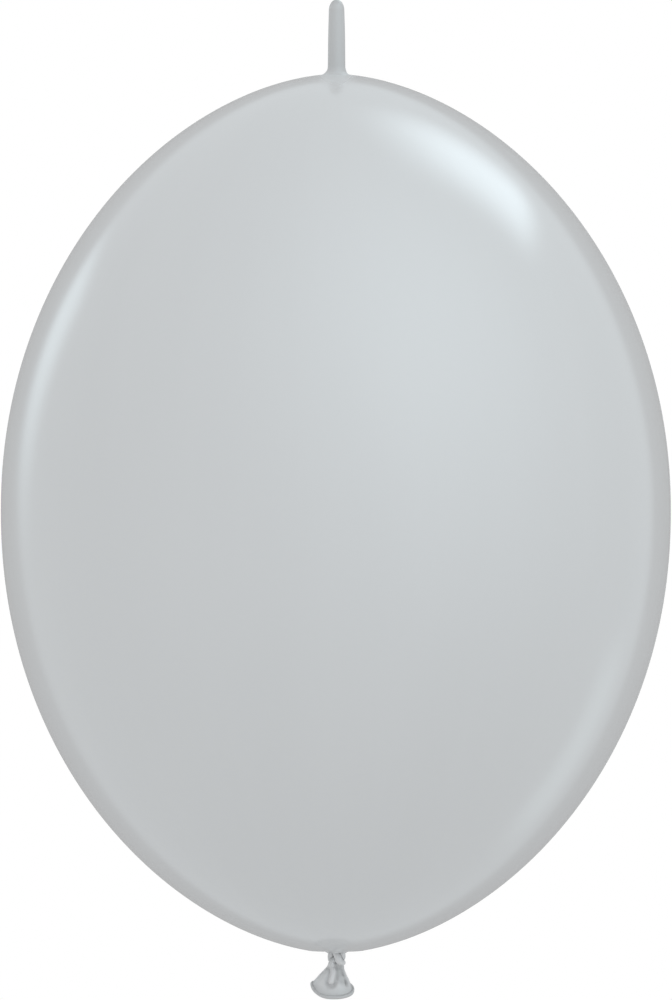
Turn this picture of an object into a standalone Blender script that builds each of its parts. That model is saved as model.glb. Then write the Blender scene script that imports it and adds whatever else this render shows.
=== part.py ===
"""Link latex balloon, inflated and tied: an ovoid body with a closed tail on top and a knotted neck below.

Metres, +Z up. The origin is on the axis, at the body's widest section.
"""

import math

import bmesh
import bpy
import numpy as np
from mathutils import Matrix, Vector

# Driving dimensions
BODY_RADIUS = 0.1524  # 12 inch body, fully inflated
BODY_ABOVE = 0.1987  # from the widest section to the upper pole
BODY_BELOW = 0.2013  # and to the lower pole
UPPER_POWERS = (2.0515, 0.5634)  # the half outline is (1 - t ** m) ** n
LOWER_POWERS = (2.0783, 0.5719)
FILM = 0.00035  # wall of the body: it stands in for a film of about 0.012 mm
THICK_FILM = 0.0005  # wall of the tail and the mouth, which are hardly stretched
GAP = 0.0003  # left between neighbouring pieces
BODY_STEPS = 48
BODY_RINGS = 13  # on each side of the widest section

TAIL_OPENING = 0.0066  # radius of the body's edge around the tail's foot
TAIL_TOP = 0.2326
TAIL_STEPS = 24
TAIL_TIP_FLAT = 0.0011

NECK_OPENING = 0.0123  # radius of the body's edge around the neck
KNOT_SCALE = (0.00135, 0.00135, 0.00108)  # of an overhand knot in a strand of radius 1, pulled along Z
KNOT_TURN = math.radians(-45)  # puts the crossing that runs down to the right in front
KNOT_CENTRE = Vector((-0.0008, 0.0009, -0.2041))
STRAND = 0.0009  # radius of the twisted neck
STRAND_TOP = -0.1986
STRAND_END = 0.0018  # how far it reaches into the mouth's skirt

SKIRT_TOP = Vector((-0.0008, 0.0010, -0.2083))
MOUTH_CENTRE = Vector((-0.0017, 0.0058, -0.2167))
MOUTH_RADIUS = 0.0091  # to the middle of the rolled rim
BEAD = 0.0010
SKIRT_STEPS = 40
PLEAT_HEIGHT = 0.0008


def clear_scene():
    for thing in list(bpy.data.objects):
        bpy.data.objects.remove(thing, do_unlink=True)


def make_collection(name):
    collection = bpy.data.collections.new(name)
    bpy.context.scene.collection.children.link(collection)
    return collection


def latex(name, colour, roughness):
    material = bpy.data.materials.new(name)
    material.use_nodes = True
    shader = material.node_tree.nodes["Principled BSDF"]
    shader.inputs["Base Color"].default_value = (*colour, 1)
    shader.inputs["Roughness"].default_value = roughness
    shader.inputs["Metallic"].default_value = 0
    material.diffuse_color = (*colour, 1)
    return material


def link(name, mesh, material, collection, smooth=True):
    thing = bpy.data.objects.new(name, mesh)
    collection.objects.link(thing)
    mesh.materials.append(material)
    if smooth:
        mesh.shade_smooth()
        mesh.set_sharp_from_angle(angle=math.radians(40))
    return thing


def strip(points):
    """A polyline mesh, the profile that a Screw modifier turns."""
    mesh = bpy.data.meshes.new("profile")
    mesh.from_pydata([tuple(p) for p in points], [(i, i + 1) for i in range(len(points) - 1)], [])
    return mesh


def turned(name, profile, steps, thickness, material, collection):
    """An open profile of (radius, height), top to bottom, turned about Z and thickened inwards."""
    thing = link(name, strip([(r, 0, z) for r, z in profile]), material, collection, smooth=False)
    screw = thing.modifiers.new("turn", "SCREW")
    screw.steps = screw.render_steps = steps
    screw.use_merge_vertices = True
    screw.merge_threshold = 0.00001
    screw.use_smooth_shade = True
    if thickness:
        wall = thing.modifiers.new("wall", "SOLIDIFY")
        wall.thickness = thickness
        wall.offset = -1
        wall.use_even_offset = True
    return thing


def half_width(z):
    """The body's outline: its radius at height z."""
    reach, (m, n) = (BODY_ABOVE, UPPER_POWERS) if z >= 0 else (BODY_BELOW, LOWER_POWERS)
    t = min(abs(z) / reach, 1)
    return BODY_RADIUS * (1 - t**m) ** n


def height_at(radius, upper):
    """The inverse of half_width."""
    reach, (m, n) = (BODY_ABOVE, UPPER_POWERS) if upper else (BODY_BELOW, LOWER_POWERS)
    z = reach * (1 - (radius / BODY_RADIUS) ** (1 / n)) ** (1 / m)
    return z if upper else -z


def body_profile():
    """Rings spaced evenly by the angle whose sine is the radius, from the tail's foot to the neck."""
    points = []
    for upper, opening in ((True, TAIL_OPENING), (False, NECK_OPENING)):
        start = math.asin(opening / BODY_RADIUS)
        angles = [start + (math.pi / 2 - start) * i / BODY_RINGS for i in range(BODY_RINGS + 1)]
        side = [(BODY_RADIUS * math.sin(a), height_at(BODY_RADIUS * math.sin(a), upper)) for a in angles]
        points += side if upper else side[::-1][1:]
    return points


def tail_profile():
    """Flat at the pole, a dome, a slightly tapered tube, and a fillet that meets the body flush."""
    points = [(0, TAIL_TOP), (TAIL_TIP_FLAT, TAIL_TOP)]
    dome = 0.0040
    radius = 0.0034
    for i in range(1, 6):
        a = math.radians(18 * i)
        r = TAIL_TIP_FLAT + (radius - TAIL_TIP_FLAT) * math.sin(a)
        points.append((r, TAIL_TOP - dome * (1 - math.cos(a))))
    for down, r in ((0.0080, 0.00365), (0.0160, 0.00385), (0.0230, 0.00393), (0.0300, 0.0040)):
        points.append((r, TAIL_TOP - down))
    foot = TAIL_OPENING - GAP
    foot_z = height_at(foot, True)
    start_z = TAIL_TOP - 0.0300
    for i in range(1, 6):
        a = math.radians(18 * i)
        points.append((foot - (foot - 0.0040) * math.cos(a), start_z - (start_z - foot_z) * math.sin(a)))
    return points


def shoulder_profile():
    """From the body's lower edge in to the dimple that the knot is drawn up into."""
    points = [(r, height_at(r, False)) for r in (NECK_OPENING - GAP, 0.0098, 0.0078, 0.0064)]
    return [*points, (0.0056, -0.2007), (0.0051, -0.2002), (0.0047, -0.1994), (0.0040, -0.1989), (0.0026, -0.1987)]


def overhand(points=96, steps=2400, reach=8.0, tight=36.4):
    """Middle line of a tight overhand knot in a strand of radius 1, pulled along Z from reach down to -reach.

    It starts as an open trefoil. The strand is then drawn out at both ends, its turns pushing each other apart.
    """
    t = np.linspace(np.pi + 0.12, 3 * np.pi - 0.12, 240)
    lobes = 1.9 * np.stack([np.sin(t) + 2 * np.sin(2 * t), np.cos(t) - 2 * np.cos(2 * t), -1.1 * np.sin(3 * t)], 1)
    start = np.linspace([reach, -4.0, 0], lobes[0], 40)[:-1]
    end = np.linspace(lobes[-1], [-reach, -4.0, 0], 40)[1:]
    path = np.concatenate([start, lobes, end])
    path[:, 1] += 2.0
    along = np.concatenate([[0], np.cumsum(np.linalg.norm(np.diff(path, axis=0), axis=1))])
    at = np.linspace(0, along[-1], points)
    p = np.stack([np.interp(at, along, path[:, k]) for k in range(3)], 1)
    ends = np.array([[reach, 0, 0], [-reach, 0, 0]])
    a, b = np.triu_indices(points, math.ceil(2.7 * (points - 1) / tight))
    for step in range(steps):
        share = min(1.0, step / (0.8 * steps))
        length = (along[-1] + (tight - along[-1]) * (1 - (1 - share) ** 1.5)) / (points - 1)
        apart = p[a] - p[b]
        far = np.linalg.norm(apart, axis=1)
        near = far < 2
        push = apart[near] / far[near][:, None] * (0.2 * (2 - far[near]))[:, None]
        np.add.at(p, a[near], push)
        np.add.at(p, b[near], -push)
        for first in (0, 1, 0, 1, 0, 1):
            k = np.arange(first, points - 1, 2)
            link_up = p[k + 1] - p[k]
            size = np.linalg.norm(link_up, axis=1)[:, None]
            link_up *= (size - length) / size / 2
            p[k] += link_up
            p[k + 1] -= link_up
        p[0], p[-1] = ends
        p[1:-1] += 0.06 * (p[:-2] + p[2:] - 2 * p[1:-1])
    return np.stack([p[:, 1], p[:, 2], p[:, 0]], 1)


def knot_line():
    """The overhand knot's middle line in place, top to bottom."""
    turn = Matrix.Rotation(KNOT_TURN, 3, "Z")
    line = [turn @ Vector(q * s for q, s in zip(p, KNOT_SCALE)) + KNOT_CENTRE for p in overhand()]
    line = [p for p in line if SKIRT_TOP.z + 0.0006 < p.z < STRAND_TOP]
    out = mouth_frame()[2]
    bend = SKIRT_TOP.lerp(line[-1], 0.35) + 0.00005 * out
    return [*line, bend, SKIRT_TOP + 0.0003 * out, SKIRT_TOP + STRAND_END * out]


def cut(line, low, high):
    """The part of a line between two shares of its length, with exact ends."""
    steps = [0.0]
    for p, q in zip(line, line[1:]):
        steps.append(steps[-1] + (q - p).length)
    total = steps[-1]
    ends = []
    for share in (low, high):
        at = share * total
        k = max(i for i in range(len(line) - 1) if steps[i] <= at)
        ends.append(line[k].lerp(line[k + 1], (at - steps[k]) / (steps[k + 1] - steps[k])))
    inside = [p for p, d in zip(line, steps) if low * total + 0.0003 < d < high * total - 0.0003]
    return [ends[0], *inside, ends[1]], total


def tube(name, points, radius, cyclic, resolution, material, collection):
    """A round tube along a poly line."""
    curve = bpy.data.curves.new(name, "CURVE")
    curve.dimensions = "3D"
    curve.bevel_depth = radius
    curve.bevel_resolution = resolution
    curve.use_fill_caps = not cyclic
    curve.twist_mode = "MINIMUM"
    spline = curve.splines.new("POLY")
    spline.points.add(len(points) - 1)
    for point, at in zip(spline.points, points):
        point.co = (*at, 1)
    spline.use_cyclic_u = cyclic
    spline.use_smooth = True
    curve.materials.append(material)
    thing = bpy.data.objects.new(name, curve)
    collection.objects.link(thing)
    return thing


def mouth_frame():
    """Across the front, towards the front, and out of the mouth."""
    out = (MOUTH_CENTRE - SKIRT_TOP).normalized()
    across = Vector((1, 0, 0))
    across = (across - across.dot(out) * out).normalized()
    front = across.cross(out)
    return across, front if front.y < 0 else -front, out


def pleat(angle, along):
    """How far the skirt stands out: one tongue in front, two low folds beside it and one behind."""
    total = 0
    for centre, width, height, end in ((0, 17, 1.0, 0.75), (52, 15, 0.4, 0.8), (-58, 16, 0.4, 0.7), (180, 24, 0.6, 0.8)):
        off = (math.degrees(angle) - centre + 180) % 360 - 180
        total += height * math.exp(-((off / width) ** 2)) * max(0.0, math.sin(math.pi * min(along / end, 1)))
    return PLEAT_HEIGHT * total


def skirt():
    """Loft of unlike rings from the strand to the rim, an open surface."""
    across, front, out = mouth_frame()
    length = (MOUTH_CENTRE - SKIRT_TOP).length
    end = length - BEAD - GAP
    # distance from the top, radius
    rings = ((0, STRAND + 0.0006), (0.0003, 0.0028), (0.0011, 0.0037), (0.0026, 0.0045), (0.0043, 0.0056), (0.0060, 0.0067), (0.0076, 0.0078), (end, 0.0090))
    mesh = bpy.data.meshes.new("mouth_skirt")
    build = bmesh.new()
    rows = []
    for s, r in rings:
        row = []
        for i in range(SKIRT_STEPS):
            a = 2 * math.pi * i / SKIRT_STEPS
            grown = r + pleat(a, s / end)
            row.append(build.verts.new(SKIRT_TOP + s * out + grown * (math.cos(a) * front + math.sin(a) * across)))
        rows.append(row)
    for upper, lower in zip(rows, rows[1:]):
        for i in range(SKIRT_STEPS):
            j = (i + 1) % SKIRT_STEPS
            build.faces.new((upper[i], lower[i], lower[j], upper[j]))
    bmesh.ops.recalc_face_normals(build, faces=build.faces)
    middle = build.faces[len(build.faces) // 2]
    if middle.normal.dot(middle.calc_center_median() - (SKIRT_TOP + MOUTH_CENTRE) / 2) < 0:
        bmesh.ops.reverse_faces(build, faces=build.faces)
    build.to_mesh(mesh)
    build.free()
    return mesh


def main():
    clear_scene()
    parts = make_collection("link_latex_balloon")
    film = latex("latex_film", (0.56, 0.59, 0.605), 0.28)
    thick = latex("latex_tail", (0.49, 0.51, 0.52), 0.34)
    tied = latex("latex_knot", (0.46, 0.48, 0.49), 0.36)
    lip = latex("latex_bead", (0.42, 0.44, 0.45), 0.38)
    stem = latex("latex_stem", (0.45, 0.47, 0.48), 0.36)
    shoulder = latex("latex_shoulder", (0.48, 0.50, 0.51), 0.32)
    loop = latex("latex_loop", (0.47, 0.49, 0.50), 0.36)
    tuck = latex("latex_tuck", (0.46, 0.48, 0.49), 0.36)

    turned("envelope", body_profile(), BODY_STEPS, FILM, film, parts)
    turned("link_tail", tail_profile(), TAIL_STEPS, THICK_FILM, thick, parts)
    turned("neck_shoulder", shoulder_profile(), TAIL_STEPS, FILM, shoulder, parts)

    across, front, out = mouth_frame()
    line = knot_line()
    total = cut(line, 0, 1)[1]
    half_gap = GAP / 2 / total
    # name, share of the strand's length from, to, material
    for name, low, high, material in (
        ("neck_stem", 0, 0.32 - half_gap, stem),
        ("knot_loop", 0.32 + half_gap, 0.68 - half_gap, loop),
        ("knot_end", 0.68 + half_gap, 1, tuck),
    ):
        tube(name, cut(line, low, high)[0], STRAND, False, 2, material, parts)

    cup = link("mouth_skirt", skirt(), tied, parts)
    wall = cup.modifiers.new("wall", "SOLIDIFY")
    wall.thickness = THICK_FILM
    wall.offset = -1
    wall.use_even_offset = True

    bpy.ops.mesh.primitive_torus_add(
        major_segments=40, minor_segments=10, major_radius=MOUTH_RADIUS, minor_radius=BEAD, location=MOUTH_CENTRE
    )
    bead = bpy.context.object
    bead.name = "mouth_bead"
    bead.data.name = "mouth_bead"
    bead.rotation_mode = "QUATERNION"
    bead.rotation_quaternion = Matrix((across, front, across.cross(front))).transposed().to_quaternion()
    bead.data.materials.append(lip)
    bead.data.shade_smooth()
    for holder in list(bead.users_collection):
        holder.objects.unlink(bead)
    parts.objects.link(bead)


main()
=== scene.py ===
"""Link latex balloon: the finish of its film, tail, tied neck and rolled mouth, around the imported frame.

Metres, +Z up. The origin is on the axis at the body's widest section, and the front view looks along +Y.
"""

import math

import bpy
import numpy as np
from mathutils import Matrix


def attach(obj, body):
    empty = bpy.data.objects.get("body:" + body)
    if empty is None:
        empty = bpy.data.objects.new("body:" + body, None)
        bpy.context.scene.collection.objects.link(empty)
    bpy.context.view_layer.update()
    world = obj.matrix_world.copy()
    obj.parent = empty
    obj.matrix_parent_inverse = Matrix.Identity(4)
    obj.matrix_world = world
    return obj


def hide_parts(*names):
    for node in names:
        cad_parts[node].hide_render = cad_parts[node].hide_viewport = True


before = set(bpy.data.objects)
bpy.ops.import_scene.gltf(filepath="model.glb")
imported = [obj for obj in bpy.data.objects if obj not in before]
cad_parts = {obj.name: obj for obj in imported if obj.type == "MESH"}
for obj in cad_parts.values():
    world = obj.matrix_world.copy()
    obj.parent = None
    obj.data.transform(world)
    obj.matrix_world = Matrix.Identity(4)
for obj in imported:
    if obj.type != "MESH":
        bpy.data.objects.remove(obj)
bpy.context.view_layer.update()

MM = 0.001
FULL_TURN = 2 * math.pi

# The body's outline and the openings, as the frame has them
BODY_RADIUS = 0.1524
BODY_ABOVE = 0.1987
BODY_BELOW = 0.2013
UPPER_POWERS = (2.0515, 0.5634)
LOWER_POWERS = (2.0783, 0.5719)
FILM = 0.00035
THICK_FILM = 0.0005
TAIL_OPENING = 0.0066
TAIL_TOP = 0.2326
NECK_OPENING = 0.0123
TURN_STEPS = 160

# The tied neck: half the thickness of its folded strand
STRAND = 1.38

# The mouth (mm): middle of the rim, its half width and its reach to the front and the back, how far its corners
# are pulled sideways and up, and the roll on it
MOUTH_CENTRE = np.array((-0.84, 5.8, -216.6))
MOUTH_HALF = 8.6
MOUTH_FRONT = 9.2
MOUTH_BACK = 4.7
MOUTH_PITCH = math.radians(29.7)
LEFT_PULL = (-1.02, 1.32)
RIGHT_PULL = (-0.50, -0.85)
BEAD = 1.05


# ---------------------------------------------------------------- small helpers


def unit(v):
    return v / np.linalg.norm(v, axis=-1, keepdims=True)


def ease(low, high, x):
    t = np.clip((x - low) / (high - low), 0, 1)
    return t * t * (3 - 2 * t)


def waves(angle, seed, low, high, fall=1.0):
    """A smooth seeded function around the full turn, between about -1 and 1."""
    rng = np.random.default_rng(seed)
    total, norm = 0, 0
    for n in range(low, high + 1):
        size = n**-fall
        total = total + size * np.sin(n * angle + rng.uniform(0, FULL_TURN))
        norm += size
    return total / norm


def loft(name, rings, pole_start=None, pole_end=None, ring_of_rings=False, sharp=40, attribute=None):
    """A closed mesh through rings of equal length. Poles close its ends, or the last ring meets the first."""
    count, steps = len(rings), len(rings[0])
    points = np.concatenate(rings)
    rows = np.arange(count * steps).reshape(count, steps)
    near, far = (rows, np.roll(rows, -1, axis=0)) if ring_of_rings else (rows[:-1], rows[1:])
    quads = np.stack([near, far, np.roll(far, -1, axis=1), np.roll(near, -1, axis=1)], -1).reshape(-1, 4)
    fans = []
    for pole, row, way in ((pole_start, rows[0], 1), (pole_end, rows[-1], -1)):
        if pole is not None:
            points = np.concatenate([points, [pole]])
            fans.append(np.stack([np.full(steps, len(points) - 1), row, np.roll(row, -1)], 1)[:, ::way])
    triangles = np.concatenate([quads[:, (0, 1, 2)], quads[:, (0, 2, 3)], *fans])
    corners = points[triangles]
    volume = np.einsum("ij,ij->i", corners[:, 0], np.cross(corners[:, 1], corners[:, 2])).sum()
    faces = quads.tolist() + [face for fan in fans for face in fan.tolist()]
    mesh = bpy.data.meshes.new(name)
    mesh.from_pydata(points.tolist(), [], faces)
    if volume < 0:
        mesh.flip_normals()
    if attribute is not None:
        for label, values in attribute.items():
            data = np.zeros(len(points), np.float32)
            data[: np.size(values)] = np.ravel(values)
            mesh.attributes.new(label, "FLOAT", "POINT").data.foreach_set("value", data)
    mesh.shade_smooth()
    mesh.set_sharp_from_angle(angle=math.radians(sharp))
    thing = bpy.data.objects.new(name, mesh)
    bpy.context.scene.collection.objects.link(thing)
    return thing


def circle(radius, z, steps=TURN_STEPS, centre=(0, 0)):
    a = np.arange(steps) * FULL_TURN / steps
    radius = np.broadcast_to(radius, a.shape)
    z = np.broadcast_to(z, a.shape)
    return np.stack([centre[0] + radius * np.sin(a), centre[1] - radius * np.cos(a), z], 1)


# ---------------------------------------------------------------- outlines


def height_at(radius, upper):
    """The body's height where it has this radius."""
    reach, (m, n) = (BODY_ABOVE, UPPER_POWERS) if upper else (BODY_BELOW, LOWER_POWERS)
    z = reach * (1 - (radius / BODY_RADIUS) ** (1 / n)) ** (1 / m)
    return z if upper else -z


def inward(profile, thickness):
    """A profile of (radius, height) moved inwards by the wall's thickness, square to itself."""
    p = np.asarray(profile)
    d = np.gradient(p, axis=0)
    normal = unit(np.stack([d[:, 1], -d[:, 0]], 1))
    return p + normal * thickness


def envelope_profile():
    upper = np.arcsin(TAIL_OPENING / BODY_RADIUS)
    lower = np.arcsin(NECK_OPENING / BODY_RADIUS)
    top = [(BODY_RADIUS * math.sin(a), height_at(BODY_RADIUS * math.sin(a), True)) for a in np.linspace(upper, math.pi / 2, 62)]
    low = [(BODY_RADIUS * math.sin(a), height_at(BODY_RADIUS * math.sin(a), False)) for a in np.linspace(math.pi / 2, lower, 58)]
    return np.array(top + low[1:])


def tail_profile():
    """Outer side of the tail from just below its pole to its foot, flush with the body."""
    dome, rise = 3.56 * MM, 5.0 * MM
    angles = np.linspace(math.radians(5), math.radians(90), 18)
    rows = [(dome * math.sin(a), TAIL_TOP - rise * (1 - math.cos(a))) for a in angles]
    for down, r in ((7, 3.61), (9.6, 3.68), (13.2, 3.78), (16.8, 3.86), (21, 3.91), (26, 3.95), (30.2, 3.99)):
        rows.append((r * MM, TAIL_TOP - down * MM))
    start = np.array(rows[-1])
    foot = np.array((TAIL_OPENING, height_at(TAIL_OPENING, True)))
    slope = (height_at(TAIL_OPENING + 0.5 * MM, True) - height_at(TAIL_OPENING, True)) / (0.5 * MM)
    for a in np.linspace(math.radians(9), math.radians(90), 16):
        short = (foot[0] - start[0]) * math.cos(a)
        rows.append((foot[0] - short, start[1] - (start[1] - foot[1]) * math.sin(a) - slope * short * math.sin(a) ** 2))
    return np.array(rows)


def smooth_rows(rows, count):
    """Evenly spaced points on a Catmull-Rom curve through the rows."""
    p = np.asarray(rows, float)
    p = np.concatenate([[2 * p[0] - p[1]], p, [2 * p[-1] - p[-2]]])
    t = np.linspace(0, 1, 24, endpoint=False)[:, None]
    pieces = []
    for a, b, c, d in zip(p, p[1:], p[2:], p[3:]):
        pieces.append(0.5 * (2 * b + (c - a) * t + (2 * a - 5 * b + 4 * c - d) * t**2 + (3 * b - a - 3 * c + d) * t**3))
    line = np.concatenate([*pieces, p[-2:-1]])
    along = np.concatenate([[0], np.cumsum(np.linalg.norm(np.diff(line, axis=0), axis=1))])
    at = np.linspace(0, along[-1], count)
    return np.stack([np.interp(at, along, line[:, k]) for k in range(p.shape[1])], 1)


# ---------------------------------------------------------------- the knot

# The neck's middle line (mm) through an overhand knot: out of the body, down across the front, around the back
# and up, over inside the body's dimple, down on the right, through the loop and into the mouth's skirt
KNOT_LINE = (
    (0.6, 0.8, -195.0),
    (0.9, 0.6, -197.0),
    (0.6, 0.0, -198.5),
    (-0.1, -1.1, -199.6),
    (-0.5, -2.1, -200.5),
    (0.0, -2.75, -201.2),
    (0.5, -3.05, -202.0),
    (0.9, -3.2, -202.85),
    (1.15, -3.2, -203.75),
    (1.45, -3.0, -204.65),
    (2.05, -2.5, -205.2),
    (2.8, -1.6, -205.45),
    (3.1, -0.45, -205.4),
    (2.75, 0.8, -205.5),
    (1.7, 1.75, -205.35),
    (0.4, 2.3, -205.15),
    (-1.1, 2.1, -204.9),
    (-2.15, 1.2, -204.4),
    (-2.15, 0.1, -203.3),
    (-1.9, -0.6, -201.7),
    (-1.75, -1.1, -200.2),
    (-1.4, -1.6, -198.8),
    (-0.6, -2.05, -198.05),
    (0.4, -2.4, -197.85),
    (1.4, -2.5, -198.05),
    (2.25, -2.3, -198.8),
    (2.7, -2.3, -199.8),
    (2.75, -2.1, -200.9),
    (2.85, -1.65, -202.1),
    (2.95, -0.95, -203.25),
    (2.2, -0.4, -203.8),
    (0.9, -0.5, -203.95),
    (-0.6, -0.9, -203.95),
    (-1.65, -1.05, -204.6),
    (-1.9, -1.0, -205.8),
    (-1.7, -0.6, -207.1),
    (-1.55, 0.1, -208.0),
    (-1.4, 1.0, -208.9),
)


def strand_line(count=360):
    line = smooth_rows(KNOT_LINE, count)
    for _ in range(30):
        line[1:-1] += 0.25 * (line[:-2] + line[2:] - 2 * line[1:-1])
    return line


def strand_rings(line, radius, steps=56):
    """Rings of a soft, folded strand around a line. Where it meets itself, both sides are pressed flat. Also a painted
    shade: darker in its grooves, where it presses on itself and on the limbs beside the strand in front.
    """
    tangent = unit(np.gradient(line, axis=0))
    side = unit(np.cross(tangent[0], (0, 1, 0)))
    sides = [side]
    for k in range(1, len(line)):
        side = sides[-1] - sides[-1].dot(tangent[k]) * tangent[k]
        sides.append(unit(side))
    sides = np.array(sides)
    ups = np.cross(tangent, sides)
    a = np.arange(steps) * FULL_TURN / steps
    along = np.concatenate([[0], np.cumsum(np.linalg.norm(np.diff(line, axis=0), axis=1))])
    rings, fold_shades = [], []
    for k, here in enumerate(line):
        u = np.cos(a)[:, None] * sides[k] + np.sin(a)[:, None] * ups[k]
        d = line - here
        square = (d**2).sum(1)
        dots = u @ d.T
        with np.errstate(divide="ignore", invalid="ignore"):
            limit = np.where(dots > 1e-6, square / (2 * dots), 99.0)
        limit[:, k] = 99.0
        room = 0.985 * limit.min(1) - 0.01
        twist = 0.35 * along[k]
        calm = float(ease(0.97, 0.90, k / len(line)))
        lobes = 1 + calm * (0.04 * np.cos(2 * (a - twist)) + 0.02 * np.sin(3 * (a - twist) + 0.9 * along[k]))
        groove = np.exp(-(((a - twist - 1.9 + math.pi) % FULL_TURN - math.pi) / 0.24) ** 2)
        groove += 0.7 * np.exp(-(((a - twist - 4.4 + math.pi) % FULL_TURN - math.pi) / 0.20) ** 2)
        groove *= calm
        want = radius[k] * (lobes - 0.05 * groove)
        soft = 0.08
        r = -soft * np.log(np.exp(-want / soft) + np.exp(-np.maximum(room, 0.05) / soft))
        ring = here + u * r[:, None]
        rings.append(ring)
        # painted shade on the two limbs beside the strand in front, which lie in its shadow
        px, py, pz = ring.T
        painted_limb_shade = 0.30 * ease(-203.8, -202.6, pz) * ease(-2.8, -2.2, py) * ease(3.9, 3.1, px) * ease(0.6, 1.4, px)
        painted_limb_shade = painted_limb_shade + 0.30 * ease(-205.0, -204.2, pz) * ease(-2.6, -2.0, py) * ease(-3.5, -2.9, px) * ease(0.2, -0.6, px)
        # painted shade in the strand's grooves and where it presses against itself
        fold_shades.append(0.2 * groove + 0.12 * ease(1.0, 0.75, room / want) + painted_limb_shade)
    return rings, np.clip(fold_shades, 0, 1)


# ---------------------------------------------------------------- the mouth's skirt

# Outline of the skirt in the front view (mm): height, and how far it reaches
SKIRT_HIGH = -204.8
SKIRT_LEFT = (
    (-217.0, -10.66), (-215.4, -10.6), (-214.6, -10.4), (-213.9, -9.9), (-213.0, -9.2), (-212.1, -8.4),
    (-211.2, -7.55), (-210.3, -6.7), (-209.35, -5.75), (-208.4, -4.9), (-207.4, -4.0), (-206.4, -3.55),
    (-205.6, -3.45), (-205.2, -3.2), (-204.8, -2.5),
)
SKIRT_RIGHT = (
    (-218.0, 7.34), (-217.2, 7.2), (-215.7, 6.7), (-214.8, 6.35), (-213.9, 5.95), (-213.0, 5.6), (-212.1, 5.05),
    (-211.2, 4.6), (-210.3, 4.25), (-209.35, 3.85), (-208.3, 3.55), (-207.3, 3.55), (-206.4, 3.4),
    (-205.6, 2.8), (-204.8, 1.4),
)
# Middle lines, in the front view, of the strand's end that runs down the skirt, and of its creases, where the skirt is
# dented and painted with shade
TONGUE = (
    (-1.75, -204.8), (-1.86, -206.0), (-1.62, -207.3), (-1.30, -208.6), (-1.20, -209.8), (-1.42, -211.2),
    (-1.72, -212.6), (-2.02, -213.6), (-2.12, -214.1),
)
SHADOW = ((0.5, -207.7), (1.9, -208.1), (2.6, -207.6))
HOLLOW = ((2.6, -208.8), (2.0, -210.6), (1.5, -212.4), (2.2, -214.0))
CREASE = ((3.4, -209.0), (3.75, -211.0), (4.5, -212.75), (4.95, -214.4), (4.9, -215.8))
VALLEY = ((2.7, -210.6), (3.1, -212.6), (3.7, -214.6))
HEM = ((-4.3, -208.2), (-6.0, -210.4), (-7.6, -212.0), (-9.0, -213.3), (-10.1, -214.7))


def mouth_axes(share=1.0):
    """Across the front, towards the front, and out of the mouth, as the skirt turns from level to the rim."""
    pitch = MOUTH_PITCH * share**1.2
    across = np.array((1.0, 0, 0))
    front = np.array((0, -math.cos(pitch), -math.sin(pitch)))
    return across, front, np.cross(across, front) * -1


def flattened(a, share=1.0):
    """How far across and to the front, from -1 to 1: full at the front, straighter at the back."""
    s, c = np.sin(a), np.cos(a)
    full = 1 - 0.17 * share**2
    across = np.sign(s) * np.where(c > 0, np.abs(s) ** full, np.abs(s))
    front = np.where(c > 0, np.abs(c) ** full, -(np.abs(c) ** (1 + 0.4 * share**2)))
    return across, front


def corner_pull(a, share=1.0):
    """Sideways and upwards (mm), where the mouth's corners are drawn out."""
    s = np.sin(a)
    size = np.abs(s) ** 4
    sideways = float(ease(0.6, 1.0, share)) * np.where(s < 0, LEFT_PULL[0], RIGHT_PULL[0]) * size
    upwards = share**2 * np.where(s < 0, LEFT_PULL[1], RIGHT_PULL[1]) * size
    return sideways, upwards


def from_line(x, z, line):
    """Distance from points to a line of (x, z), and how far along it they are."""
    best = np.full(x.shape, 99.0)
    where = np.zeros(x.shape)
    walked = 0.0
    for (x0, z0), (x1, z1) in zip(line, line[1:]):
        length = math.hypot(x1 - x0, z1 - z0)
        t = np.clip(((x - x0) * (x1 - x0) + (z - z0) * (z1 - z0)) / length**2, 0, 1)
        d = np.hypot(x - x0 - t * (x1 - x0), z - z0 - t * (z1 - z0))
        where = np.where(d < best, walked + t * length, where)
        best = np.minimum(best, d)
        walked += length
    return best, where


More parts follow.
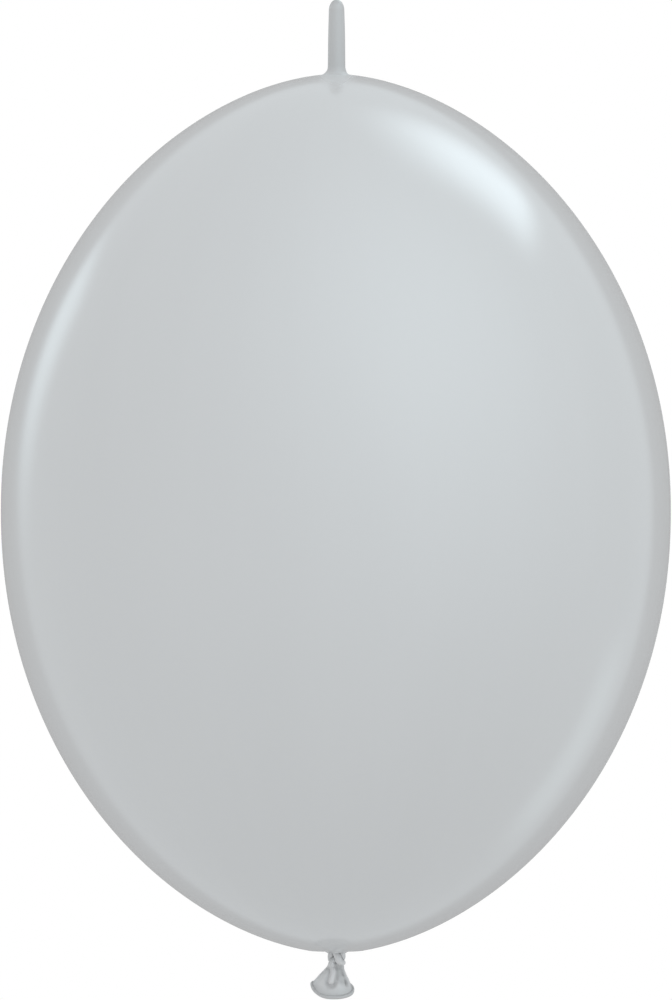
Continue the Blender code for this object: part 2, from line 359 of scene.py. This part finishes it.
def skirt_ring(share, a, inner=0.0, strand=None, plain=False):
    """Points (mm) and painted shade around the skirt, from its top (0) to its rim (1)."""
    across, front, out = mouth_axes(share)
    height = SKIRT_HIGH + share * (MOUTH_CENTRE[2] - SKIRT_HIGH)
    near_rim = float(ease(0.6, 1.0, share))
    left = np.interp(height + LEFT_PULL[1] * share**2, *zip(*SKIRT_LEFT)) - LEFT_PULL[0] * near_rim
    right = np.interp(height + RIGHT_PULL[1] * share**2, *zip(*SKIRT_RIGHT)) - RIGHT_PULL[0] * near_rim
    centre = np.array(((left + right) / 2, 0.8 + share * (MOUTH_CENTRE[1] - 0.8), height))
    sideways, upwards = corner_pull(a, share)
    wide_part, deep_part = flattened(a, share)
    # towards the rim the film swells out until it lies on the roll
    swell = 1.12 * float(ease(0.76, 0.97, share)) - 0.22 * float(ease(0.975, 1.0, share))
    half = (right - left) / 2
    to_front = 1.3 + (MOUTH_FRONT - 1.3) * share**0.92
    to_back = 1.5 + (MOUTH_BACK - 1.5) * share
    depth = np.where(np.cos(a) > 0, to_front, to_back)

    def place(grow):
        wide, deep = half - inner + grow + 0.75 * swell, depth - inner + grow + 0.85 * swell
        spot = centre + (wide * wide_part + sideways)[:, None] * across + (deep * deep_part)[:, None] * front
        return spot + upwards[:, None] * (0, 0, 1) - (0.5 * swell) * out

    base = place(np.zeros_like(a))
    if plain:
        return base, None
    x, z = base[:, 0], base[:, 2]
    seen = ease(-0.05, 0.25, np.cos(a))
    far, along = from_line(x, z, TONGUE)
    size = 0.82 + 0.18 * ease(-208.5, -212.5, z)
    ridge = 1 - ease(0.5 * size, 1.6 * size, far)
    gutter = np.exp(-(((far - 2.25 * size) / (0.85 * size)) ** 2)) * ease(-206.8, -209.2, z)
    shadow = np.exp(-((from_line(x, z, SHADOW)[0] / 1.1) ** 2))
    hollow = np.exp(-((from_line(x, z, HOLLOW)[0] / 1.35) ** 2))
    far, along = from_line(x, z, CREASE)
    pockets = 0.35 + 0.38 * np.exp(-(((along - 1.9) / 0.9) ** 2)) + 0.85 * np.exp(-(((along - 5.7) / 1.15) ** 2))
    crease = np.exp(-((far / 0.62) ** 2)) * pockets
    far, along = from_line(x, z, HEM)
    hem = np.exp(-((far / 0.45) ** 2)) * (0.8 + 0.2 * np.sin(along * FULL_TURN / 1.75))
    valley = np.exp(-((from_line(x, z, VALLEY)[0] / 1.3) ** 2))
    gutter = gutter * (1 + 0.35 * ease(-213.6, -215.2, z))
    behind = 1 - seen
    pleats = waves(a, 5, 5, 13, 0.4) * behind * math.sin(math.pi * min(1, share * 1.15)) ** 0.7
    fine = waves(a, 9, 12, 30, 0.4) * float(ease(0.5, 0.0, share))
    end = 1 - float(ease(0.86, 0.96, share))
    grow = seen * (-0.7 * gutter * (1 - ridge) - 0.4 * hollow - 0.5 * shadow - 0.85 * crease - 0.10 * hem - 0.15 * valley) * end
    grow = grow + 0.45 * pleats * end + 0.05 * fine * (1 - ridge)
    top = float(ease(0.50, 0.02, share))
    # painted shade: darker in the gutters beside the strand's end, in the hollow, shadow, creases, hem crease and
    # valley, and less on the ridge
    fold_shade = seen * (0.40 * gutter + 0.32 * hollow + 0.52 * shadow + 1.05 * crease + 0.30 * hem + 0.34 * valley) * (1 - 0.6 * np.clip(ridge, 0, 1))
    # painted shade at the skirt's top, under the knot
    fold_shade += 0.26 * top * (1 - 0.55 * ridge * seen)
    # painted shade in the hollows of the pleats
    fold_shade += behind * 0.5 * np.clip(-pleats, 0, 1) + 0.2 * np.clip(-fine, 0, 1)
    ring = place(grow)

    # the film is stretched round over the strand's end
    offset = ring - centre
    flat = np.stack([offset @ across, offset @ front], 1)
    reach = np.linalg.norm(flat, axis=1)
    ways = (flat / reach[:, None]) @ np.stack([across, front])
    if strand is not None:
        spots, radii = strand
        away = (spots - centre)[None]
        near = ways @ away[0].T
        square = (away**2).sum(-1) - near**2
        thick = np.maximum(radii - inner, 0.05)[None]
        hit = np.where((near > 0) & (square < thick**2), near + np.sqrt(np.clip(thick**2 - square, 0, None)), 0).max(1)
        soft = 0.14
        longer = reach + soft * np.log1p(np.exp(np.clip((hit - reach) / soft, -30, 30)))
        longer = np.where(hit > 0.3 * reach, longer, reach)
        ring = ring + ways * (longer - reach)[:, None]
    return ring, np.clip(fold_shade * end, 0, 1)


def strand_under_film():
    """Middle points (mm) and radii of the strand's end, from the knot down the front of the skirt."""
    steps = np.arange(-60, 61) * math.radians(1.5)
    grid = np.concatenate([skirt_ring(share, steps, plain=True)[0] for share in np.linspace(0, 1, 160)])
    line = smooth_rows(TONGUE, 150)
    line = np.stack([line[:, 0], line[:, 1]], 1)
    surface = np.array([grid[np.argsort((grid[:, 0] - x) ** 2 + (grid[:, 2] - z) ** 2)[:6], 1].mean() for x, z in line])
    for _ in range(60):
        surface[1:-1] += 0.25 * (surface[:-2] + surface[2:] - 2 * surface[1:-1])
    z = line[:, 1]
    radii = 1.46 - 0.17 * ease(-206.4, -208.2, z) - 0.20 * ease(-205.6, -204.8, z)
    proud = 0.92 * ease(-205.0, -206.0, z)
    knot = np.interp(-z, (205.0, 206.1, 207.2), (-1.03, -1.0, -0.75))
    lying = surface + radii - proud
    depth = knot + ease(-206.2, -208.2, z) * (lying - knot)
    return np.stack([line[:, 0], depth, z], 1), radii


def rim_line(count=240):
    """Middle of the rolled rim (mm), in even steps around the mouth."""
    a = np.arange(1440) * FULL_TURN / 1440
    across, front, out = mouth_axes()
    wide_part, deep_part = flattened(a)
    depth = np.where(np.cos(a) > 0, MOUTH_FRONT, MOUTH_BACK)
    sideways, upwards = corner_pull(a)
    line = MOUTH_CENTRE + (MOUTH_HALF * wide_part + sideways)[:, None] * across + (depth * deep_part)[:, None] * front
    line = line + upwards[:, None] * (0, 0, 1)
    closed = np.concatenate([line, line[:1]])
    along = np.concatenate([[0], np.cumsum(np.linalg.norm(np.diff(closed, axis=0), axis=1))])
    at = np.linspace(0, along[-1], count, endpoint=False)
    line = np.stack([np.interp(at, along, closed[:, k]) for k in range(3)], 1)
    for _ in range(16):
        line += 0.25 * (np.roll(line, 1, axis=0) + np.roll(line, -1, axis=0) - 2 * line)
    return line


# ---------------------------------------------------------------- materials


class Nodes:
    """Short ways to add shader nodes to a tree."""

    def __init__(self, tree):
        self.tree = tree

    def add(self, kind, **settings):
        node = self.tree.nodes.new(kind)
        for key, value in settings.items():
            setattr(node, key, value)
        return node

    def wire(self, source, target):
        self.tree.links.new(source, target)

    def math(self, operation, a, b=None, c=None, clamp=False):
        node = self.add("ShaderNodeMath", operation=operation, use_clamp=clamp)
        for socket, value in zip(node.inputs, (a, b, c)):
            if value is None:
                continue
            if isinstance(value, (int, float)):
                socket.default_value = value
            else:
                self.wire(value, socket)
        return node.outputs[0]

    def noise(self, vector, scale, detail=2.0, roughness=0.5, distortion=0.0):
        node = self.add("ShaderNodeTexNoise")
        self.wire(vector, node.inputs["Vector"])
        node.inputs["Scale"].default_value = scale
        node.inputs["Detail"].default_value = detail
        node.inputs["Roughness"].default_value = roughness
        node.inputs["Distortion"].default_value = distortion
        return node.outputs["Fac"]

    def span(self, value, low, high, to_low=0.0, to_high=1.0, smooth=True):
        node = self.add("ShaderNodeMapRange", interpolation_type="SMOOTHSTEP" if smooth else "LINEAR")
        self.wire(value, node.inputs["Value"])
        for name, number in (("From Min", low), ("From Max", high), ("To Min", to_low), ("To Max", to_high)):
            node.inputs[name].default_value = number
        return node.outputs["Result"]

    def mix(self, factor, a, b):
        node = self.add("ShaderNodeMix", data_type="RGBA")
        if isinstance(factor, (int, float)):
            node.inputs[0].default_value = factor
        else:
            self.wire(factor, node.inputs[0])
        for socket, value in ((node.inputs[6], a), (node.inputs[7], b)):
            if isinstance(value, tuple):
                socket.default_value = (*value, 1)
            else:
                self.wire(value, socket)
        return node.outputs[2]


# Colours of the latex, linear: stretched film, thicker latex of the tail, knot and skirt, and the rolled rim
FILM_COLOUR = (0.531, 0.545, 0.552)
TAIL_COLOUR = (0.450, 0.458, 0.461)
THICK_COLOUR = (0.565, 0.572, 0.577)
BEAD_COLOUR = (0.430, 0.437, 0.441)


def shade(colour, factor):
    return tuple(c * factor for c in colour)


def latex(name, colour, other=None, where=None, roughness=0.15, grain=1.0, fold_shades=False):
    """Latex of one colour, or of two that meet near the tail's foot, near the neck or towards the rim. Where asked, a
    painted shade darkens it in its folds, creases and hollows.
    """
    material = bpy.data.materials.new(name)
    material.use_nodes = True
    n = Nodes(material.node_tree)
    shader = material.node_tree.nodes["Principled BSDF"]
    place = n.add("ShaderNodeTexCoord").outputs["Object"]
    parts = n.add("ShaderNodeSeparateXYZ")
    n.wire(place, parts.inputs[0])
    x, y, z = parts.outputs
    radius = n.math("SQRT", n.math("ADD", n.math("MULTIPLY", x, x), n.math("MULTIPLY", y, y)))

    # streaks that run from pole to pole, where the film is a little thicker or thinner
    angle = n.math("ARCTAN2", x, y)
    around = n.add("ShaderNodeCombineXYZ")
    n.wire(n.math("SINE", angle), around.inputs[0])
    n.wire(n.math("COSINE", angle), around.inputs[1])
    n.wire(n.math("MULTIPLY", z, 1.1), around.inputs[2])
    streaks = n.noise(around.outputs[0], 5.0, 3.0, 0.55)
    clouds = n.noise(place, 9.0, 3.0, 0.5)
    specks = n.noise(place, 420.0, 2.0, 0.6)

    if where == "poles":
        foot = n.math("MULTIPLY", n.span(z, 0.1925, 0.1985), n.span(radius, 0.024, 0.0075))
        neck = n.math("MULTIPLY", n.span(radius, 0.026, 0.004), n.span(z, -0.190, -0.199))
        amount = n.math("ADD", n.math("MULTIPLY", foot, 0.7), n.math("MULTIPLY", neck, 0.6), clamp=True)
    elif where == "foot":
        amount = n.span(z, 0.1972, 0.1998)
        # painted shade: the tail is darker towards its tip
        tip = n.span(z, 0.2285, 0.2322)
        dull = n.span(z, 0.2045, 0.2000)
        other = n.mix(tip, other, shade(other, 0.86))
    elif where == "rim":
        amount = n.add("ShaderNodeAttribute", attribute_name="rim").outputs["Fac"]
    paint = colour if where is None else n.mix(amount, colour, other)
    tint = n.math("ADD", n.math("MULTIPLY", n.math("SUBTRACT", streaks, 0.5), 0.030), n.math("MULTIPLY", n.math("SUBTRACT", clouds, 0.5), 0.024))
    tint = n.math("ADD", tint, n.math("MULTIPLY", n.math("SUBTRACT", specks, 0.5), 0.012 * grain))
    scaled = n.add("ShaderNodeVectorMath", operation="SCALE")
    if isinstance(paint, tuple):
        scaled.inputs[0].default_value = paint
    else:
        n.wire(paint, scaled.inputs[0])
    n.wire(n.math("ADD", tint, 1.0), scaled.inputs["Scale"])
    paint = scaled.outputs[0]
    # painted shade: an attribute darkens the colour in the folds, creases and hollows, where shade falls
    if fold_shades:
        depth = n.add("ShaderNodeAttribute", attribute_name="fold_shade").outputs["Fac"]
        dark = n.add("ShaderNodeVectorMath", operation="SCALE")
        n.wire(paint, dark.inputs[0])
        dark.inputs["Scale"].default_value = 0.42
        paint = n.mix(n.math("MULTIPLY", depth, 0.8, clamp=True), paint, dark.outputs[0])
    n.wire(paint, shader.inputs["Base Color"])

    rough = n.math("ADD", roughness - 0.02, n.math("MULTIPLY", n.noise(place, 60.0, 3.0, 0.6), 0.04))
    if where == "poles":
        beside = n.math("SQRT", n.math("ADD", n.math("MULTIPLY", n.math("MULTIPLY", x, x), 16.0), n.math("MULTIPLY", y, y)))
        dull = n.math("MULTIPLY", n.span(z, 0.182, 0.192), n.span(beside, 0.046, 0.020))
        rough = n.math("ADD", rough, n.math("MULTIPLY", dull, 0.20))
    elif where == "foot":
        rough = n.math("ADD", rough, n.math("MULTIPLY", dull, 0.16))
    if fold_shades:
        rough = n.math("ADD", rough, n.math("MULTIPLY", depth, 0.15))
    n.wire(rough, shader.inputs["Roughness"])
    shader.inputs["IOR"].default_value = 1.52
    shader.inputs["Metallic"].default_value = 0.0

    # dip-moulded skin: a very fine orange peel over slow undulation
    peel = n.noise(place, 900.0, 3.0, 0.5)
    slow = n.noise(place, 70.0, 2.0, 0.4)
    height = n.math("ADD", n.math("MULTIPLY", peel, 0.0000025 * grain), n.math("MULTIPLY", slow, 0.000008 * grain))
    bump = n.add("ShaderNodeBump")
    bump.inputs["Strength"].default_value = 1.0
    bump.inputs["Distance"].default_value = 1.0
    n.wire(height, bump.inputs["Height"])
    n.wire(bump.outputs["Normal"], shader.inputs["Normal"])
    return material


# ---------------------------------------------------------------- pieces


def finish_piece(piece, material, slot, *nodes):
    piece.data.materials.append(material)
    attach(piece, "root")
    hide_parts(*nodes)
    return piece


def build_envelope():
    outer = envelope_profile()
    inner = inward(outer, FILM)
    rings = [circle(r, z) for r, z in outer] + [circle(r, z) for r, z in inner[::-1]]
    material = latex("film", FILM_COLOUR, shade(FILM_COLOUR, 1.0), "poles")
    return finish_piece(loft("envelope_skin", rings, ring_of_rings=True), material, "latex_film", "envelope")


def build_tail():
    outer = tail_profile()
    inner = inward(outer, THICK_FILM)[3:]
    foot_z = outer[-1, 1]
    a = np.arange(TURN_STEPS) * FULL_TURN / TURN_STEPS

    def ring(r, z):
        # the tail leans a little and isn't quite round
        body = float(ease(foot_z + 0.1 * MM, foot_z + 2.4 * MM, z))
        lean = float(ease(foot_z + 1 * MM, TAIL_TOP, z))
        lumps = 1 + body * (0.008 * np.sin(2 * a + 0.8 + 30 * z) + 0.004 * np.sin(3 * a + 2.1 - 140 * z))
        return circle(r * lumps, z, centre=(0.00034 * body, 0.00020 * lean))

    rings = [ring(r, z) for r, z in outer] + [ring(r, z) for r, z in inner[::-1]]
    tip = (0.00034, 0.00020, TAIL_TOP)
    under = (0.00034, 0.00020, TAIL_TOP - THICK_FILM * 1.1)
    piece = loft("link_tail_skin", rings, pole_start=tip, pole_end=under)
    material = latex("tail_latex", FILM_COLOUR, TAIL_COLOUR, "foot", roughness=0.34, grain=1.2)
    return finish_piece(piece, material, "latex_thick", "link_tail")


def build_gather():
    """The film around the lower pole: pleats into the dimple over the knot, and down onto the strand in front, with
    painted shade in the pleats' hollows, deep in the dimple and on the collar at the front right.
    """
    radii = np.linspace(NECK_OPENING, 6.4 * MM, 22)
    rows = [(r / MM, height_at(r, False) / MM + 0.45 * float(ease(12.3, 7.0, r / MM))) for r in radii]
    dimple = ((5.9, -200.38), (5.4, -200.43), (4.9, -200.45), (4.4, -200.38), (3.9, -200.2), (3.4, -199.9), (2.95, -199.4), (2.5, -198.6), (2.1, -197.7))
    collar = ((5.9, -200.40), (5.4, -200.50), (4.95, -200.65), (4.6, -200.86), (4.25, -201.08), (3.85, -201.15), (3.4, -200.9), (2.95, -200.2), (2.5, -199.2), (2.1, -198.1))
    drape = ((5.75, -200.50), (5.2, -200.66), (4.75, -200.88), (4.35, -201.15), (4.0, -201.28), (3.5, -201.32), (3.0, -201.0), (2.5, -200.3), (2.1, -199.3))
    around, front, over = (np.concatenate([rows[:17], smooth_rows(rows[17:] + list(part), 44)]) for part in (collar, dimple, drape))
    a = np.arange(TURN_STEPS) * FULL_TURN / TURN_STEPS
    turn = (a + 0.14 + math.pi) % FULL_TURN - math.pi
    onto = np.exp(-((turn / 0.42) ** 2))
    open_front = ease(0.60, 0.30, np.abs((a + 0.45 + math.pi) % FULL_TURN - math.pi))
    pleats = 0.6 * waves(a, 3, 7, 12, 0.3) + 0.4 * waves(a, 11, 14, 22, 0.3)
    rings, fold_shades = [], []
    for thick in (0.0, FILM / MM):
        part, fold_shade = [], []
        for (r0, z0), (r1, z1), (r2, z2) in zip(*(inward(p, thick) for p in (around, front, over))):
            r, z = r0 + open_front * (r1 - r0), z0 + open_front * (z1 - z0)
            r, z = r + onto * (r2 - r), z + onto * (z2 - z)
            size = 0.22 * float(ease(9, 4.4, r0)) * (1 - 0.7 * onto)
            shift = float(ease(6.2, 4.8, r0))
            # painted shade on the collar at the front right, beside the strand
            corner = 0.35 * np.exp(-(((turn - 0.66) / 0.24) ** 2)) * float(ease(5.3, 4.5, r0))
            part.append(circle(r * MM, (z + pleats * size) * MM, centre=(0.3 * MM * shift, -0.5 * MM * shift)))
            # painted shade in the pleats' hollows and deep in the dimple, plus the collar's painted shade
            fold_shade.append((0.5 * np.clip(-pleats, 0, 1) + 0.4 * float(ease(-200.3, -199.4, z0) * ease(4.2, 3.6, r0))) * float(ease(9, 4.6, r0)) * (1 - onto) + corner)
        if thick:
            part, fold_shade = part[::-1], fold_shade[::-1]
        rings += part
        fold_shades += fold_shade
    piece = loft("neck_gather", rings, ring_of_rings=True, attribute={"fold_shade": np.clip(fold_shades, 0, 1)})
    # painted light: towards the neck the film is made a little lighter
    material = latex("gather_film", FILM_COLOUR, shade(FILM_COLOUR, 1.02), "poles", roughness=0.17, fold_shades=True)
    return finish_piece(piece, material, "latex_film", "neck_shoulder")


def build_knot():
    line = strand_line()
    count = len(line)
    share = np.linspace(0, 1, count)
    limb = ease(-203.9, -202.9, line[:, 2]) * ease(-198.8, -200.0, line[:, 2]) * ease(1.2, 1.8, np.abs(line[:, 0])) * ease(1.2, 0.2, line[:, 1])
    for _ in range(20):
        limb[1:-1] += 0.25 * (limb[:-2] + limb[2:] - 2 * limb[1:-1])
    front = ease(-200.8, -202.4, line[:, 2]) * ease(-1.4, -2.2, line[:, 1])
    sheathed = ease(-205.5, -206.6, line[:, 2]) * (share > 0.85)
    radius = STRAND * (1 + 0.15 * limb + 0.12 * front - 0.16 * sheathed - 0.15 * ease(0.955, 1.0, share))
    rings, fold_shades = strand_rings(line, radius)
    rings = [ring * MM for ring in rings]
    material = latex("knot_latex", THICK_COLOUR, roughness=0.33, grain=1.5, fold_shades=True)
    pieces = []
    for name, low, high, node in (
        ("knot_stem_fold", 0.0, 0.28, "neck_stem"),
        ("knot_loop_fold", 0.28, 0.70, "knot_loop"),
        ("knot_end_fold", 0.70, 1.0, "knot_end"),
    ):
        i, j = round(low * (count - 1)), round(high * (count - 1))
        ends = {"pole_start": line[i] * MM, "pole_end": line[j] * MM}
        piece = loft(name, rings[i : j + 1], sharp=50, attribute={"fold_shade": fold_shades[i : j + 1]}, **ends)
        pieces.append(finish_piece(piece, material, "latex_thick", node))
    return pieces


def build_skirt():
    steps, rows = 320, 110
    a = np.arange(steps) * FULL_TURN / steps
    shares = np.linspace(0, 1, rows) ** 1.1
    strand = strand_under_film()
    rings, fold_shades, rims = [], [], []
    for inner, order in ((0.0, shares), (0.42, shares[::-1])):
        for share in order:
            ring, fold_shade = skirt_ring(share, a, inner, strand)
            rings.append(ring * MM)
            fold_shades.append(fold_shade)
            rims.append(np.full(steps, float(ease(0.74, 0.97, share))))
    piece = loft("mouth_skirt_skin", rings, ring_of_rings=True, sharp=60, attribute={"fold_shade": np.array(fold_shades), "rim": np.array(rims)})
    material = latex("skirt_latex", THICK_COLOUR, BEAD_COLOUR, "rim", roughness=0.33, grain=1.5, fold_shades=True)
    return finish_piece(piece, material, "latex_thick", "mouth_skirt")


def build_bead():
    """The rim, rolled on itself: a soft round, a little fatter where the flattened mouth turns at its corners."""
    steps, round_steps = 240, 40
    a = np.arange(steps) * FULL_TURN / steps
    b = np.arange(round_steps) * FULL_TURN / round_steps
    out = mouth_axes()[2]
    line = rim_line(steps)
    along = unit(np.roll(line, -1, axis=0) - np.roll(line, 1, axis=0))
    away = unit(np.cross(along, out))
    if away[0].dot(line[0] - MOUTH_CENTRE) < 0:
        away = -away
    up = unit(np.cross(along, away))
    corner = ease(0.80, 1.0, np.abs(line[:, 0] - line[:, 0].mean()) / np.abs(line[:, 0] - line[:, 0].mean()).max())
    fat = BEAD * (1 + 0.04 * waves(a, 23, 3, 11, 0.5) + 0.14 * corner)
    closing = np.exp(-(((b - 4.4) / 0.18) ** 2))
    rings, fold_shades = [], []
    for k in range(steps):
        r = fat[k] * (1 - 0.08 * closing + 0.015 * np.sin(3 * b + 5 * a[k]))
        rings.append((line[k] + (r * np.cos(b))[:, None] * away[k] + (r * np.sin(b))[:, None] * up[k]) * MM)
        # painted shade along the seam where the roll closes on itself
        fold_shades.append(closing * 0.6 * (1 - 0.7 * corner[k]))
    piece = loft("mouth_bead_roll", rings, ring_of_rings=True, sharp=70, attribute={"fold_shade": np.array(fold_shades)})
    material = latex("bead_latex", BEAD_COLOUR, roughness=0.35, grain=1.5, fold_shades=True)
    return finish_piece(piece, material, "latex_bead", "mouth_bead")


build_envelope()
build_tail()
build_gather()
build_knot()
build_skirt()
build_bead()


# ---------------------------------------------------------------- studio


def build_floor():
    steps = 96
    rings = [circle(r, -1.0, steps) for r in (0.5, 1, 2, 4, 8, 10)]
    points = np.concatenate(rings).tolist() + [[0, 0, -1.0]]
    faces = []
    for k in range(len(rings) - 1):
        for i in range(steps):
            j = (i + 1) % steps
            faces.append((k * steps + i, (k + 1) * steps + i, (k + 1) * steps + j, k * steps + j))
    faces += [(len(points) - 1, i, (i + 1) % steps) for i in range(steps)]
    mesh = bpy.data.meshes.new("floor")
    mesh.from_pydata(points, [], faces)
    if mesh.polygons[0].normal.z < 0:
        mesh.flip_normals()
    floor = bpy.data.objects.new("floor", mesh)
    bpy.context.scene.collection.objects.link(floor)
    floor.visible_glossy = False
    material = bpy.data.materials.new("floor_paint")
    material.use_nodes = True
    n = Nodes(material.node_tree)
    shader = material.node_tree.nodes["Principled BSDF"]
    shader.inputs["Roughness"].default_value = 0.9
    shader.inputs["Specular IOR Level"].default_value = 0.0
    place = n.add("ShaderNodeTexCoord").outputs["Object"]
    cloud = n.noise(place, 1.3, 2.0, 0.5)
    n.wire(n.mix(cloud, (0.87, 0.87, 0.87), (0.90, 0.90, 0.90)), shader.inputs["Base Color"])
    # the floor is a one-sided sheet: from below, the balloon can be seen through it
    clear = n.add("ShaderNodeBsdfTransparent")
    pick = n.add("ShaderNodeMixShader")
    n.wire(n.add("ShaderNodeNewGeometry").outputs["Backfacing"], pick.inputs[0])
    n.wire(shader.outputs[0], pick.inputs[1])
    n.wire(clear.outputs[0], pick.inputs[2])
    n.wire(pick.outputs[0], material.node_tree.nodes["Material Output"].inputs["Surface"])
    mesh.materials.append(material)


def build_world():
    """An even white room, a little brighter and bluer at the front. Glossy surfaces mirror a darker backdrop
    behind the balloon, the lit room around it, a broad glow at the front right above, and three soft windows."""
    world = bpy.data.worlds.new("studio")
    world.use_nodes = True
    bpy.context.scene.world = world
    tree = world.node_tree
    n = Nodes(tree)
    for node in list(tree.nodes):
        tree.nodes.remove(node)
    rays = n.add("ShaderNodeLightPath")
    direction = n.add("ShaderNodeTexCoord").outputs["Generated"]
    parts = n.add("ShaderNodeSeparateXYZ")
    n.wire(direction, parts.inputs[0])
    x, y, z = parts.outputs

    def toward(v):
        node = n.add("ShaderNodeVectorMath", operation="DOT_PRODUCT")
        n.wire(direction, node.inputs[0])
        node.inputs[1].default_value = tuple(float(c) for c in v)
        return node.outputs["Value"]

    def tinted(strength, colour):
        node = n.add("ShaderNodeVectorMath", operation="SCALE")
        node.inputs[0].default_value = colour
        n.wire(strength, node.inputs["Scale"])
        return node.outputs[0]

    def total(a, b):
        node = n.add("ShaderNodeVectorMath", operation="ADD")
        n.wire(a, node.inputs[0])
        if isinstance(b, tuple):
            node.inputs[1].default_value = b
        else:
            n.wire(b, node.inputs[1])
        return node.outputs[0]

    def blob(centre, spread):
        """A soft round around a direction; spread in degrees."""
        sharpness = 1 / math.radians(spread) ** 2
        return n.math("EXPONENT", n.math("MULTIPLY", n.math("SUBTRACT", toward(unit(np.array(centre))), 1.0), sharpness))

    def window(start, end, half, soft_start, soft_end, edge):
        """A soft band from one direction to another; half its width and its soft edges in degrees."""
        start, end = unit(np.array(start)), unit(np.array(end))
        middle = unit(start + end)
        long_axis = unit(end - start)
        short_axis = unit(np.cross(middle, long_axis))
        facing = toward(middle)
        t = n.math("MULTIPLY", n.math("ARCTAN2", toward(long_axis), facing), 180 / math.pi)
        q = n.math("MULTIPLY", n.math("ABSOLUTE", n.math("ARCTAN2", toward(short_axis), facing)), 180 / math.pi)
        reach = math.degrees(math.acos(float(start.dot(end)))) / 2
        along = n.math("MULTIPLY", n.span(t, -reach - soft_start, -reach + soft_start), n.span(t, reach + soft_end, reach - soft_end))
        return n.math("MULTIPLY", along, n.span(q, half + edge, half - edge))

    room = total(tinted(n.math("MAXIMUM", n.math("MULTIPLY", y, -1.0), 0.0), (0.22, 0.235, 0.25)), (1.0, 1.0, 1.0))
    room = total(room, tinted(n.math("MAXIMUM", z, 0.0), (-0.065, -0.065, -0.065)))

    sideways = n.math("MULTIPLY", n.math("ARCTAN2", x, y), 180 / math.pi)
    upwards = n.math("MULTIPLY", n.math("ARCSINE", z), 180 / math.pi)
    height = n.span(z, -0.01, 0.01, BACKDROP_DOWN, BACKDROP_UP)
    wide = n.math("DIVIDE", sideways, BACKDROP_SIDE)
    high = n.math("DIVIDE", upwards, height)
    wide, high = n.math("POWER", n.math("ABSOLUTE", wide), 2.8), n.math("POWER", n.math("ABSOLUTE", high), 2.8)
    away = n.math("POWER", n.math("ADD", wide, high), 1 / 2.8)
    glow = tinted(blob((0.52, -0.58, 0.63), GLOW_SPREAD), GLOW_LEVEL)
    faint = n.add("ShaderNodeVectorMath", operation="SCALE")
    n.wire(glow, faint.inputs[0])
    faint.inputs["Scale"].default_value = 0.25
    mirrored = n.mix(n.span(away, 1 - BACKDROP_EDGE, 1 + BACKDROP_EDGE), total(faint.outputs[0], BACKDROP_LEVEL), total(glow, ROOM_LEVEL))
    for place, level in WINDOWS:
        mirrored = total(mirrored, tinted(window(*place), level))

    seen = n.mix(rays.outputs["Is Glossy Ray"], room, mirrored)
    seen = n.mix(rays.outputs["Is Camera Ray"], seen, (1.0, 1.0, 1.0))
    background = n.add("ShaderNodeBackground")
    n.wire(seen, background.inputs["Color"])
    output = n.add("ShaderNodeOutputWorld")
    n.wire(background.outputs[0], output.inputs["Surface"])
    world.cycles.sampling_method = "NONE"


# What glossy surfaces mirror, in degrees and linear levels
BACKDROP_SIDE = 40.0
BACKDROP_UP = 31.0
BACKDROP_DOWN = 35.0
BACKDROP_EDGE = 0.10
BACKDROP_LEVEL = (0.425, 0.42, 0.42)
ROOM_LEVEL = (0.76, 0.79, 0.81)
GLOW_SPREAD = 39.0
GLOW_LEVEL = (1.85, 2.30, 2.48)
WINDOWS = (
    # start, end, half width, softness at the start, at the end and at the sides; level
    (((0.29, 0.37, 0.88), (0.64, 0.495, 0.59), 11.3, 14.0, 3.0, 9.0), (2.45, 2.92, 3.15)),
    (((-0.68, 0.73, 0.10), (-0.63, 0.66, 0.40), 7.0, 12.0, 3.5, 5.0), (0.92, 1.12, 1.20)),
    (((0.79, 0.54, -0.25), (0.57, 0.55, -0.61), 6.5, 5.0, 5.0, 3.5), (0.40, 0.49, 0.50)),
)

build_floor()
build_world()

camera = bpy.data.objects.new("camera", bpy.data.cameras.new("camera"))
camera.data.type = "PERSP"
camera.data.lens = 500
camera.data.sensor_width = 36
camera.data.clip_start = 0.1
camera.data.clip_end = 60
camera.location = (0.00007, -6.318, 0.0049)
camera.rotation_euler = (math.pi / 2, 0, 0)
bpy.context.scene.collection.objects.link(camera)
bpy.context.scene.camera = camera
bpy.context.scene.view_settings.view_transform = "Standard"
